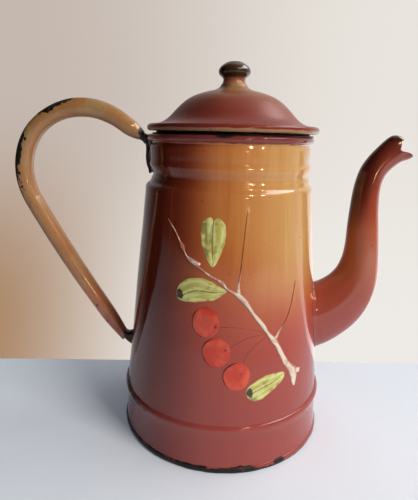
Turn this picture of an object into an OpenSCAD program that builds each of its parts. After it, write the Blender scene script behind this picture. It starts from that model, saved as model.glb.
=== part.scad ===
// Enamelled coffee percolator: a tapered sheet-steel pot with a gooseneck spout, a hollow loop
// handle and a lift-off lid, and the brewing insert that stands inside it.
// Millimetres. Origin: centre of the base's underside. +X points to the spout, +Z up.

/* [Pot] */
// Outer radius of the pot at the floor
base_r = 70; // [68:0.5:72]
// Thickness of the enamelled sheet
sheet = 0.9; // [0.7:0.1:1.1]
// Height of the seam between the foot band and the cone
foot_h = 31; // [29:0.5:33]
// Outer radius of the cone at the foot seam
cone_r = 67.7; // [66.5:0.1:68]
// Outer radius of the cone at the shoulder
shoulder_r = 54.2; // [53.5:0.1:55]
// Height of the shoulder
shoulder_z = 165.5; // [160:0.5:168]
// Height of the pressed groove between shoulder and neck
groove_z = 173.7; // [173:0.1:175]
// Outer radius at the bottom of the groove
groove_r = 50.4; // [50:0.1:51]
// Outer radius of the neck
neck_r = 51.7; // [51.4:0.1:52]
// Height of the pot's rolled rim
rim_z = 198.5; // [197:0.5:200]

/* [Lid] */
// Outer radius of the lid's rolled rim
lid_r = 54.5; // [54:0.1:55]
// How far the loose lid sits toward the spout
lid_shift = 1.5; // [0:0.1:1.5]
// Height of the dome, from its rim to the seat of the knob
dome_h = 23.3; // [21:0.1:25]
// Largest radius of the knob
knob_r = 10.1; // [9:0.1:11]
// Height of the knob above its seat
knob_h = 14.8; // [13:0.1:16]

/* [Handle] */
// Diameter of the hollow handle
handle_d = 12.4; // [11:0.1:13.5]
// Radius of the handle's main bend
bend_r = 42.2; // [41:0.1:43]
// Width of both handle brackets
bracket_w = 14; // [10:0.5:16]

/* [Spout] */
// Half width of the spout where it meets the pot
spout_root_w = 16.5; // [15:0.1:17]
// Half width of the spout at its mouth
spout_tip_w = 6.6; // [6:0.1:7]
// Radius of each hole in the wall behind the spout
strainer_hole_r = 2; // [1.5:0.1:2.5]

/* [Insert] */
// Outer radius of the pump tube
tube_r = 4.5; // [4:0.1:5]
// Height of the pump tube's top above the floor
tube_top = 203; // [198:0.5:206]
// Radius of the pump foot
foot_r = 43; // [38:0.5:45]
// Outer radius of the coffee basket
basket_r = 44; // [40:0.5:45]
// Height of the basket's underside above the floor
basket_z = 116; // [110:0.5:120]
// Depth of the coffee basket
basket_h = 44; // [38:0.5:46]
// Thickness of the insert's aluminium
insert_t = 0.8; // [0.6:0.1:1]

/* [Hidden] */
$fn = 96;
rest_gap = 0.05;
sliding_gap = 0.08;
weld_gap = 0.06;
drill = 1;

// Base seam
seam_h = 3.4;
seam_lip = 0.9;
foot_waist_r = cone_r + 0.5;

// Rolled edges
rim_bead_r = 1.25;
rim_bead_h = 3.8;
neck_inner_r = neck_r - sheet;
lid_bead_r = 2.1;
lid_z = rim_z + 2;
lid_top = lid_z + 2 * lid_bead_r;
knob_seat = lid_top + dome_h;

// Lid collar
collar_r = neck_inner_r - 0.6 - 1.5;
collar_drop = 12.5;
collar_ledge_r = lid_r - 1.5;

// Knob rivet
rivet_r = 2;
rivet_head_r = 4.5;
rivet_head_t = 1.5;
rivet_depth = 9;

// Handle centre line: a short lead, the main bend and a long gentle sweep
lead_start = [-57.2, 197.3, 143];
lead = 15.3;
bend_turn = 155;
sweep_r = 940;
sweep_turn = 7.1;
handle_sides = 16;
handle_rings = 40;
nose_r = 3;
nose_len = 10;
tail_r = 3.2;
tail_len = 26;
bend_len = bend_r * bend_turn * PI / 180;
sweep_len = sweep_r * sweep_turn * PI / 180;
handle_len = lead + bend_len + sweep_len;

// Brackets
strap_t = 1.6;
strap_top = rim_z - 0.2;
bracket_reach = rim_bead_r * 2 + neck_inner_r + weld_gap;
boss_r = 2.8;
stub_top = 57.5;
stub_low = 44.5;

// Spout stations from root to mouth: inner edge x, z, outer edge x, z
SPOUT_EDGES = [
    [60.6, 100.8, 65.6, 53.6],
    [66.6, 103.2, 74.5, 57.9],
    [72.6, 107.4, 83.5, 64.4],
    [76.8, 112.6, 92.0, 72.5],
    [79.2, 118.4, 98.4, 82.0],
    [80.5, 125.0, 102.6, 93.0],
    [81.0, 133.0, 104.4, 105.5],
    [81.0, 142.3, 103.6, 121.5],
    [81.4, 152.4, 101.7, 138.0],
    [82.0, 162.4, 99.8, 152.5],
    [83.2, 171.6, 99.1, 165.4],
    [85.6, 180.3, 100.6, 174.0],
    [89.8, 187.2, 104.0, 179.6],
    [95.5, 193.6, 108.6, 183.9],
    [102.4, 199.6, 113.0, 186.4],
    [110.8, 199.0, 117.8, 188.9]
];
spout_steps = len(SPOUT_EDGES) - 1;
spout_sides = 10;

// Strainer
strainer_pitch = 7;
strainer_z = 77;

// Insert
foot_z = sheet + 0.4;
foot_crown = 13.2;
foot_sleeve_top = 30;
inlet_r = 1.5;
inlet_ring = 10;
notch_r = 2;
tube_wall = 0.8;
tube_bottom = 8.6;
tube_flare_r = 6.6;
valve_r = 13;
valve_t = 0.6;
valve_z = tube_bottom + 1 + rest_gap;
stop_r = 7.5;
stop_h = 4;
sleeve_r = tube_r + sliding_gap + insert_t;
sleeve_flange_r = 9;
basket_top = basket_z + basket_h;
basket_lip_r = basket_r + 2.4;
sieve_hole_r = 0.9;
spreader_hole_r = 1.1;
spreader_drop = 3;
spreader_z = basket_top + rest_gap;

// Unit normal to the left of a path at its point i
function left_normal(path, i) =
    let (a = path[max(i - 1, 0)], b = path[min(i + 1, len(path) - 1)], d = (b - a) / norm(b - a))
    [-d[1], d[0]];

// Closed outline of a sheet of thickness t along the left side of a path
function sheet_outline(path, t) =
    concat(path, [for (i = [len(path) - 1:-1:0]) path[i] + t * left_normal(path, i)]);

// Body of revolution of a sheet
module spun_sheet(path, t) {
    rotate_extrude() polygon(sheet_outline(path, t));
}

// Flat ring from height z
module ring(r_out, r_in, z, h) {
    translate([0, 0, z])
        difference() {
            cylinder(r = r_out, h = h);
            translate([0, 0, -drill]) cylinder(r = r_in, h = h + 2 * drill);
        }
}

// Rings of upright holes: each entry is [radius of the ring, number of holes]
module sieve_holes(rings, r, z, h) {
    for (row = rings)
        for (i = [0:row[1] - 1])
            rotate(i * 360 / row[1])
                translate([row[0], 0, z]) cylinder(r = r, h = h, $fn = 24);
}

// Sheet swept through sections, each a list of outer points and a list of inner points
module swept_sheet(sections, closed) {
    n = len(sections[0][0]);
    last = len(sections) - 1;
    edges = closed ? n : n - 1;
    points = [for (s = sections) for (side = s) for (p = side) p];
    function at(k, side, j) = (2 * k + side) * n + j % n;
    function quad(a, b, c, d) = [[a, b, c], [a, c, d]];
    outer = [for (k = [0:last - 1]) for (j = [0:edges - 1])
        quad(at(k, 0, j), at(k, 0, j + 1), at(k + 1, 0, j + 1), at(k + 1, 0, j))];
    inner = [for (k = [0:last - 1]) for (j = [0:edges - 1])
        quad(at(k, 1, j), at(k + 1, 1, j), at(k + 1, 1, j + 1), at(k, 1, j + 1))];
    first_end = [for (j = [0:edges - 1])
        quad(at(0, 0, j), at(0, 1, j), at(0, 1, j + 1), at(0, 0, j + 1))];
    last_end = [for (j = [0:edges - 1])
        quad(at(last, 0, j), at(last, 0, j + 1), at(last, 1, j + 1), at(last, 1, j))];
    seams = closed ? [] : [for (k = [0:last - 1]) each [
        quad(at(k, 0, 0), at(k + 1, 0, 0), at(k + 1, 1, 0), at(k, 1, 0)),
        quad(at(k, 0, n - 1), at(k, 1, n - 1), at(k + 1, 1, n - 1), at(k + 1, 0, n - 1))]];
    polyhedron(points, [for (q = concat(outer, inner, first_end, last_end, seams)) each q]);
}

// ---- Pot ----

// Outer radius of the cone at height z
function cone_at(z) = cone_r + (shoulder_r - cone_r) * (z - foot_h) / (shoulder_z - foot_h);

FOOT_PATH = [
    [base_r - seam_lip - rest_gap, sheet], [base_r - seam_lip - rest_gap, seam_h],
    [base_r - 0.6, seam_h + 0.8], [foot_waist_r + 0.4, 11], [foot_waist_r, 18],
    [foot_waist_r + 0.4, 24], [foot_waist_r + 0.6, 27], [foot_waist_r + 0.3, 29], [cone_r, foot_h]
];

CONE_PATH = [
    [cone_r, foot_h], [shoulder_r, shoulder_z], [shoulder_r - 0.3, shoulder_z + 1.6],
    [shoulder_r - 1.1, shoulder_z + 3.8], [groove_r + 1.4, groove_z - 2.2],
    [groove_r + 0.3, groove_z - 0.7], [groove_r, groove_z]
];

NECK_FOOT = [
    [groove_r, groove_z], [groove_r + 0.1, groove_z + 1.8], [groove_r + 0.7, groove_z + 4.1]
];
NECK_PATH = concat(NECK_FOOT, [
    [neck_r - 0.05, groove_z + 6.6], [neck_r, rim_z - rim_bead_h + rim_bead_r]
]);

module base_disc() {
    color("#3a2320") {
        rotate_extrude() polygon([
            [0, 0], [base_r - 0.8, 0], [base_r - 0.2, 0.4], [base_r, 1.2], [base_r, seam_h],
            [base_r - seam_lip, seam_h], [base_r - seam_lip, sheet], [0, sheet]
        ]);
    }
}

module foot_band() {
    color("#8f4540") spun_sheet(FOOT_PATH, sheet);
}

module strainer_holes() {
    for (row = [-2:2])
        for (k = [-1:1])
            if (row % 2 == 0 || k < 1)
                translate([cone_at(strainer_z) - 8, (k + abs(row % 2) / 2) * strainer_pitch,
                           strainer_z + row * strainer_pitch])
                    rotate([0, 90, 0]) cylinder(r = strainer_hole_r, h = 14, $fn = 32);
}

module body_cone() {
    color("#b06a3a") difference() {
        spun_sheet(CONE_PATH, sheet);
        strainer_holes();
    }
}

module neck_ring() {
    color("#c8924e") rotate_extrude() {
        polygon(sheet_outline(NECK_PATH, sheet));
        translate([neck_inner_r + rim_bead_r, rim_z - rim_bead_r]) circle(r = rim_bead_r);
        translate([neck_inner_r + rim_bead_r, rim_z - rim_bead_h + rim_bead_r]) circle(r = rim_bead_r);
        translate([neck_inner_r, rim_z - rim_bead_h + rim_bead_r])
            square([2 * rim_bead_r, rim_bead_h - 2 * rim_bead_r]);
    }
}

// ---- Spout ----

// Point on an oval station k, at angle a from the inner edge, set in by t
function spout_point(k, a, t) =
    let (
        e = SPOUT_EDGES[k],
        mid = [(e[0] + e[2]) / 2, (e[1] + e[3]) / 2],
        up = [e[0] - e[2], e[1] - e[3]] / 2,
        half = norm(up),
        w = spout_root_w + (spout_tip_w - spout_root_w) * pow(k / spout_steps, 0.8),
        x = mid[0] + up[0] / half * (half - t) * cos(a),
        y = (w - t) * sin(a),
        z = mid[1] + up[1] / half * (half - t) * cos(a)
    )
    k == 0 ? [sqrt(pow(cone_at(z) + weld_gap, 2) - y * y), y, z] : [x, y, z];

function spout_side(k, t) = [for (i = [0:spout_sides]) spout_point(k, i * 180 / spout_sides, t)];

module spout_half() {
    swept_sheet([for (k = [0:spout_steps]) [spout_side(k, 0), spout_side(k, sheet)]], false);
}

module spout_left() {
    color("#7a362c") spout_half();
}

module spout_right() {
    color("#7a362c") mirror([0, 1, 0]) spout_half();
}

// ---- Handle ----

// A place on the centre line is [x, z, heading in degrees]
function ahead(p, s) = [p[0] + s * cos(p[2]), p[1] + s * sin(p[2]), p[2]];
function around(p, r, turn) = [
    p[0] + r * (cos(p[2] + 90) + cos(p[2] + turn - 90)),
    p[1] + r * (sin(p[2] + 90) + sin(p[2] + turn - 90)),
    p[2] + turn
];
bend_start = ahead(lead_start, lead);
sweep_start = around(bend_start, bend_r, bend_turn);
handle_end = around(sweep_start, sweep_r, sweep_turn);

function handle_place(s) =
    s < lead ? ahead(lead_start, s)
    : s < lead + bend_len ? around(bend_start, bend_r, bend_turn * (s - lead) / bend_len)
    : around(sweep_start, sweep_r, sweep_turn * (s - lead - bend_len) / sweep_len);

// Radius at distance s: a bullet nose at the top and a longer taper at the bottom
function handle_radius(s) = min(
    nose_r + (handle_d / 2 - nose_r) * sin(90 * min(1, s / nose_len)),
    tail_r + (handle_d / 2 - tail_r) * sin(90 * min(1, (handle_len - s) / tail_len))
);

// Distances crowd together toward both ends
function handle_distance(i) =
    let (u = i / handle_rings) handle_len * (u - sin(360 * u) * 0.7 / (2 * PI));

function handle_loop(s, r) =
    let (p = handle_place(s))
    [for (j = [0:handle_sides - 1])
        let (a = 360 * j / handle_sides)
        [p[0] - r * cos(a) * sin(p[2]), r * sin(a), p[1] + r * cos(a) * cos(p[2])]];

module handle_tube() {
    color("#c08a5c") swept_sheet([
        for (i = [0:handle_rings])
            let (s = handle_distance(i), r = handle_radius(s))
            [handle_loop(s, r), handle_loop(s, r - sheet)]
    ], true);
}

// Side profile of the upper strap: welded in the groove, standing off the neck, stepped round the rim
STRAP_PATH = concat(NECK_FOOT, [
    [neck_r + 0.6, groove_z + 6.5], [neck_r + 0.6, rim_z - rim_bead_h - 1.4],
    [bracket_reach, rim_z - rim_bead_h - 0.2], [bracket_reach, strap_top]
]);
STRAP_BACK = [
    [bracket_reach + strap_t, strap_top], [bracket_reach + strap_t, rim_z - rim_bead_h - 2.2],
    [neck_r + 0.6 + strap_t, rim_z - rim_bead_h - 4], [neck_r + 0.6 + strap_t, groove_z + 5],
    [groove_r + 2.6, groove_z + 2], [groove_r + 1.2, groove_z + 0.5]
];

module handle_top_bracket() {
    arc = 2 * asin(bracket_w / 2 / neck_r);
    color("#2b1d1a") {
        rotate(180 - arc / 2) rotate_extrude(angle = arc) polygon(concat(STRAP_PATH, STRAP_BACK));
        difference() {
            translate([lead_start[0], 0, lead_start[1]])
                rotate([0, 90 - (lead_start[2] - 180), 0]) cylinder(r = boss_r, h = 5);
            translate([0, 0, strap_top - 20]) cylinder(r = bracket_reach + strap_t / 2, h = 40);
        }
    }
}

module handle_bottom_bracket() {
    toward = [cos(handle_end[2]), sin(handle_end[2])];
    across = [-toward[1], toward[0]];
    tip = [handle_end[0], handle_end[1]];
    color("#2b1d1a") difference() {
        translate([0, bracket_w / 4, 0]) rotate([90, 0, 0]) linear_extrude(bracket_w / 2)
            polygon([
                tip + tail_r * across, tip - tail_r * across, [-66, stub_low], [-62, stub_low],
                [-62, stub_top]
            ]);
        rotate_extrude() polygon([
            [0, foot_h], [cone_at(foot_h) + weld_gap, foot_h],
            [cone_at(shoulder_z) + weld_gap, shoulder_z], [0, shoulder_z]
        ]);
    }
}

// ---- Lid ----

LID_PATH = [
    [lid_r - lid_bead_r, lid_top], [47, lid_top], [44.8, lid_top + 1.1], [41.4, lid_top + 2.6],
    [38.4, lid_top + 4.6], [35, lid_top + 8], [31.6, lid_top + 11.4], [28.4, lid_top + 14.2],
    [25.2, lid_top + 16.3], [22, lid_top + 17.9], [17.6, lid_top + 19.6],
    [13.8, knob_seat - 2.2], [10.8, knob_seat - 0.8], [8.6, knob_seat], [rivet_r + rest_gap, knob_seat]
];

KNOB_PATH = [
    [0, 0], [8.6, 0], [8.4, 1.4], [7.3, 3.2], [7.2, 4.4], [knob_r - 1.9, 5.8],
    [knob_r - 0.5, 7.2], [knob_r, 8.6], [knob_r - 0.4, 10.2], [knob_r - 1.7, 11.8],
    [knob_r - 3.5, 13.2], [knob_r - 5.5, knob_h - 0.6], [knob_r - 7.6, knob_h], [0, knob_h]
];

module lid_dome() {
    color("#7d3a34") translate([lid_shift, 0, 0]) rotate_extrude() {
        polygon(sheet_outline(LID_PATH, sheet));
        translate([lid_r - lid_bead_r, lid_z + lid_bead_r]) circle(r = lid_bead_r);
    }
}

module lid_collar() {
    color("#6d342e") translate([lid_shift, 0, 0]) {
        ring(collar_r, collar_r - sheet, rim_z - collar_drop, lid_top - sheet - rim_z + collar_drop);
        ring(collar_ledge_r, collar_r - sheet / 2, rim_z + rest_gap, sheet);
    }
}

module lid_knob() {
    color("#5d4630") translate([lid_shift, 0, knob_seat]) difference() {
        rotate_extrude() polygon(KNOB_PATH);
        translate([0, 0, -drill]) cylinder(r = rivet_r + rest_gap, h = rivet_depth + drill);
    }
}

module knob_rivet() {
    color("silver") translate([lid_shift, 0, knob_seat - sheet - rivet_head_t]) {
        cylinder(r = rivet_head_r, h = rivet_head_t);
        cylinder(r = rivet_r, h = rivet_head_t + sheet + rivet_depth - rest_gap);
    }
}

// ---- Insert ----

FOOT_BELL = [
    [foot_r, foot_z], [foot_r - 0.8, foot_z + 3.2], [foot_r - 7, foot_z + 7.2],
    [foot_r - 17, foot_z + 10.3], [17, foot_crown], [8, foot_crown],
    [tube_r + 1.8, foot_crown + 1.4], [tube_r + 0.9, foot_crown + 4],
    [tube_r + 0.9, foot_sleeve_top]
];

module pump_foot() {
    color("lightgray") difference() {
        spun_sheet(FOOT_BELL, insert_t);
        sieve_holes([[inlet_ring, 4]], inlet_r, foot_crown - 2, 4);
        for (a = [45:90:315])
            rotate(a) translate([foot_r - 6, 0, foot_z]) rotate([0, 90, 0]) cylinder(r = notch_r, h = 8);
    }
}

module pump_tube() {
    color("silver") {
        ring(tube_r, tube_r - tube_wall, tube_bottom, tube_top - tube_bottom);
        ring(tube_flare_r, tube_r - tube_wall, tube_bottom, 1);
    }
}

module basket_stop() {
    color("gray") ring(stop_r, tube_r, basket_z - insert_t - stop_h - rest_gap, stop_h);
}

module pump_valve() {
    color("darkgray") ring(valve_r, tube_r + 0.3, valve_z, valve_t);
}

BASKET_PATH = [
    [sleeve_r + rest_gap, basket_z], [basket_r - 3, basket_z], [basket_r - 1, basket_z + 1],
    [basket_r, basket_z + 3], [basket_r, basket_top - insert_t], [basket_lip_r, basket_top - insert_t]
];

module coffee_basket() {
    color("gainsboro") difference() {
        spun_sheet(BASKET_PATH, insert_t);
        sieve_holes([[16, 12], [24, 18], [32, 24]], sieve_hole_r, basket_z - drill, 3);
    }
}

module basket_sleeve() {
    color("silver") {
        ring(sleeve_r, sleeve_r - insert_t, basket_z - insert_t, basket_h - 4);
        ring(sleeve_flange_r, sleeve_r - insert_t, basket_z - insert_t, insert_t);
    }
}

SPREADER_PATH = [
    [tube_r + sliding_gap, spreader_z - spreader_drop + 2], [tube_r + 2, spreader_z - spreader_drop + 2],
    [tube_r + 4, spreader_z - spreader_drop], [basket_r - 5, spreader_z - spreader_drop],
    [basket_r - 2, spreader_z], [basket_lip_r, spreader_z]
];

module spreader_plate() {
    color("white") difference() {
        spun_sheet(SPREADER_PATH, insert_t);
        sieve_holes([[14, 12], [23, 18], [32, 24]], spreader_hole_r, spreader_z - spreader_drop - drill, 3);
    }
}

base_disc();
foot_band();
body_cone();
neck_ring();
spout_left();
spout_right();
handle_tube();
handle_top_bracket();
handle_bottom_bracket();
lid_dome();
lid_collar();
lid_knob();
knob_rivet();
pump_foot();
pump_tube();
basket_stop();
pump_valve();
coffee_basket();
basket_sleeve();
spreader_plate();
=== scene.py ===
# Enamelled coffee percolator: the visual model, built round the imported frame.
# Shapes are given in millimetres, lights and the stage in metres, colours as they show, 0 to 255.
from functools import reduce
from math import atan2, cos, hypot, pi, radians, sin, sqrt

import bpy
import bmesh
from mathutils import Matrix, Vector, noise


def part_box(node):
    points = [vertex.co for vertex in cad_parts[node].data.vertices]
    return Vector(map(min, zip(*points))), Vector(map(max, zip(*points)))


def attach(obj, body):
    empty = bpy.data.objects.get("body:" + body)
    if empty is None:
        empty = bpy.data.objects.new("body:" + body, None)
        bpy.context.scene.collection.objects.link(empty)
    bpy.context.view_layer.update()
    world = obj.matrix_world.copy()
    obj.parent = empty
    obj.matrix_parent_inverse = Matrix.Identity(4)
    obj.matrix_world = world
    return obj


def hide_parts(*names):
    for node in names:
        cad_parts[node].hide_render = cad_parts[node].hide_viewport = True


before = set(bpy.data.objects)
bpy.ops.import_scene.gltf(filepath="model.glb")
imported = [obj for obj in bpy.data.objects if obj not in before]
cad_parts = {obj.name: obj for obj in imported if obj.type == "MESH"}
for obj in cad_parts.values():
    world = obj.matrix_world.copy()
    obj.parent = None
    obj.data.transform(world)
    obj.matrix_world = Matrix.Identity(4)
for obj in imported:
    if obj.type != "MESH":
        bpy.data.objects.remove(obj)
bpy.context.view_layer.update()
scene = bpy.context.scene

MM = 0.001
AROUND = 288  # steps round a turned piece
SHEET = 0.9  # thickness of the enamelled sheet

# ---- Sizes from the frame ----


def node_box(name):
    low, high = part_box(name)
    return low / MM, high / MM


base_r = node_box("base_disc")[1].x
neck_low, neck_high = node_box("neck_ring")
lid_low, lid_high = node_box("lid_dome")
knob_low, knob_high = node_box("lid_knob")
rim_z, rim_r = neck_high.z, neck_high.x
lid_r, lid_x = (lid_high.x - lid_low.x) / 2, (lid_high.x + lid_low.x) / 2
knob_x = (knob_high.x + knob_low.x) / 2

# ---- The handle's path ----


def lumps(*at):
    return noise.noise(Vector(at))


def between(table, at):
    """Value of a table of (place, value) at a place, straight between its rows."""
    for (a, va), (b, vb) in zip(table, table[1:]):
        if at <= b:
            return va + (vb - va) * (at - a) / (b - a)
    return table[-1][1]


# A short lead, a tight bend and a long sweep, as (x, z, heading) and lengths along the tube
LEAD_START, LEAD = (-57.2, 197.3, radians(143)), 15.3
BEND_R, BEND_TURN = 42.2, radians(155)
SWEEP_R, SWEEP_TURN = 940, radians(7.1)
HANDLE_LENGTH = LEAD + BEND_R * BEND_TURN + SWEEP_R * SWEEP_TURN
NOSE_R, NOSE_LENGTH = 3, 11
TAIL_R, TAIL_LENGTH = 3.2, 27
PLACES = (0, 12, 25, 45, 65, 80, 100, 130, 160, 190, 215, HANDLE_LENGTH)
# Radius at those places, and how far the tube strays outward from its path there
GIRTHS = (5.4, 5.5, 5.9, 6.05, 5.6, 5.8, 5.85, 5.95, 5.95, 5.75, 5.5, 5.4)
DRIFTS = (-0.4, -1, -1.3, -1.05, -0.5, 0.15, 0.05, 0, -0.1, -0.25, -0.4, -0.2)
HANDLE_GIRTH, HANDLE_DRIFT = list(zip(PLACES, GIRTHS)), list(zip(PLACES, DRIFTS))


def ahead(p, s):
    return (p[0] + s * cos(p[2]), p[1] + s * sin(p[2]), p[2])


def around(p, r, turn):
    start, end = p[2] + pi / 2, p[2] + turn - pi / 2
    return (p[0] + r * (cos(start) + cos(end)), p[1] + r * (sin(start) + sin(end)), p[2] + turn)


def handle_place(s):
    """Place and heading on the plain path."""
    if s < LEAD:
        return ahead(LEAD_START, s)
    bend, turned = ahead(LEAD_START, LEAD), (s - LEAD) / BEND_R
    if turned < BEND_TURN:
        return around(bend, BEND_R, turned)
    sweep = around(bend, BEND_R, BEND_TURN)
    return around(sweep, SWEEP_R, (turned - BEND_TURN) * BEND_R / SWEEP_R)


def handle_radius(s):
    full = between(HANDLE_GIRTH, s) + 0.1 * lumps(s / 14, 3.1, 0)
    nose = NOSE_R + (full - NOSE_R) * sin(pi / 2 * min(1, s / NOSE_LENGTH)) ** 0.8
    tail = TAIL_R + (full - TAIL_R) * sin(pi / 2 * min(1, (HANDLE_LENGTH - s) / TAIL_LENGTH))
    return min(full, nose, tail)


def stray_place(s):
    """Place and heading of the tube's real centre."""
    x, z, heading = handle_place(s)
    stray = between(HANDLE_DRIFT, s)
    return x + stray * sin(heading), z - stray * cos(heading), heading


def on_handle(s, turn):
    """Place on the handle's skin, at a turn in degrees from its outer side towards the front."""
    x, z, heading = stray_place(s)
    r, turn = handle_radius(s), radians(turn)
    return (x + r * cos(turn) * sin(heading), -r * sin(turn), z - r * cos(turn) * cos(heading))


# ---- Camera ----


def place(name, data):
    obj = bpy.data.objects.new(name, data)
    scene.collection.objects.link(obj)
    return obj


CAMERA_PLACE = (0, -0.28966, 0.19729)
CAMERA_PITCH, CAMERA_YAW, CAMERA_ROLL = radians(14.595), radians(-2.292), radians(1.522)


def make_camera():
    camera = place("camera", bpy.data.cameras.new("camera"))
    camera.data.lens, camera.data.sensor_width = 31.18, 36
    camera.data.clip_start = 0.01
    yaw = Matrix.Rotation(-CAMERA_YAW, 4, "Z")
    pitch = Matrix.Rotation(pi / 2 - CAMERA_PITCH, 4, "X")
    roll = Matrix.Rotation(CAMERA_ROLL, 4, "Z")
    camera.matrix_world = Matrix.Translation(CAMERA_PLACE) @ yaw @ pitch @ roll
    scene.camera = camera


make_camera()

# ---- Light ----

POT_MIDDLE = Vector((0, 0, 0.11))
# The first three light the pot without being mirrored in it; the others show only as reflections.
# Azimuth from the front, elevation, distance, size, power, colour, rays it is hidden from
LIGHTS = [
    ("key", 50, 31, 1.15, (0.5, 0.5), 9.4, (1, 0.975, 0.95), "glossy"),
    ("sky", 102, 62, 1.15, (0.8, 0.8), 5.2, (0.93, 0.97, 1), "glossy"),
    ("back", 200, 32, 1.15, (0.9, 0.7), 1.2, (0.94, 0.96, 1), "glossy"),
    ("window", 98, 50, 0.95, (0.8, 0.36), 7, (1, 0.98, 0.96), "diffuse"),
    ("lamp_a", 33, 40, 1, (0.03, 0.03), 2.6, (1, 0.74, 0.44), "diffuse"),
    ("lamp_b", 50, 38, 1, (0.03, 0.03), 1.9, (1, 0.74, 0.44), "diffuse"),
    ("lamp_low", 24, 8, 1, (0.06, 0.03), 0.55, (1, 0.7, 0.4), "diffuse"),
]


def make_lights():
    for name, azimuth, elevation, distance, size, power, colour, hidden_from in LIGHTS:
        a, e = radians(azimuth), radians(elevation)
        light = bpy.data.lights.new(name, "AREA")
        light.shape = "RECTANGLE"
        light.size, light.size_y = size
        light.energy, light.color = power, colour
        obj = place(name, light)
        away = Vector((sin(a) * cos(e), -cos(a) * cos(e), sin(e))) * distance
        obj.location = POT_MIDDLE + away
        obj.rotation_mode = "QUATERNION"
        obj.rotation_quaternion = (-away).to_track_quat("-Z", "Y")
        obj.visible_camera = False
        setattr(obj, "visible_" + hidden_from, False)


scene.view_settings.view_transform = "Standard"
make_lights()

# ---- Shader building ----

BLACK_IRON, RUST = (18, 14, 12), (92, 50, 32)


def rgb(r, g, b):
    """Screen colour 0 to 255 as the linear colour that a shader takes."""
    linear = [((v / 255 + 0.055) / 1.055) ** 2.4 if v > 10 else v / 3295 for v in (r, g, b)]
    return (*linear, 1)


class Nodes:
    """A node tree and short ways to add nodes to it."""

    def __init__(self, tree):
        self.tree = tree

    def feed(self, socket, value):
        if isinstance(value, bpy.types.NodeSocket):
            self.tree.links.new(value, socket)
        else:
            socket.default_value = value

    def add(self, kind, inputs=None, **props):
        node = self.tree.nodes.new("ShaderNode" + kind)
        for key, value in props.items():
            setattr(node, key, value)
        for key, value in (inputs or {}).items():
            self.feed(node.inputs[key], value)
        return node

    def step(self, value, low, high, a=0, b=1):
        """From a to b, eased, while the value goes from low to high."""
        inputs = {0: value, 1: low, 2: high, 3: a, 4: b}
        return self.add("MapRange", inputs, interpolation_type="SMOOTHSTEP").outputs[0]

    def mix(self, factor, a, b):
        """Mix of two colours, each a socket, a screen colour or a linear colour of four."""
        node = self.add("Mix", {0: factor}, data_type="RGBA")
        for index, value in ((6, a), (7, b)):
            screen = isinstance(value, tuple) and len(value) == 3
            self.feed(node.inputs[index], rgb(*value) if screen else value)
        return node.outputs[2]


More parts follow.
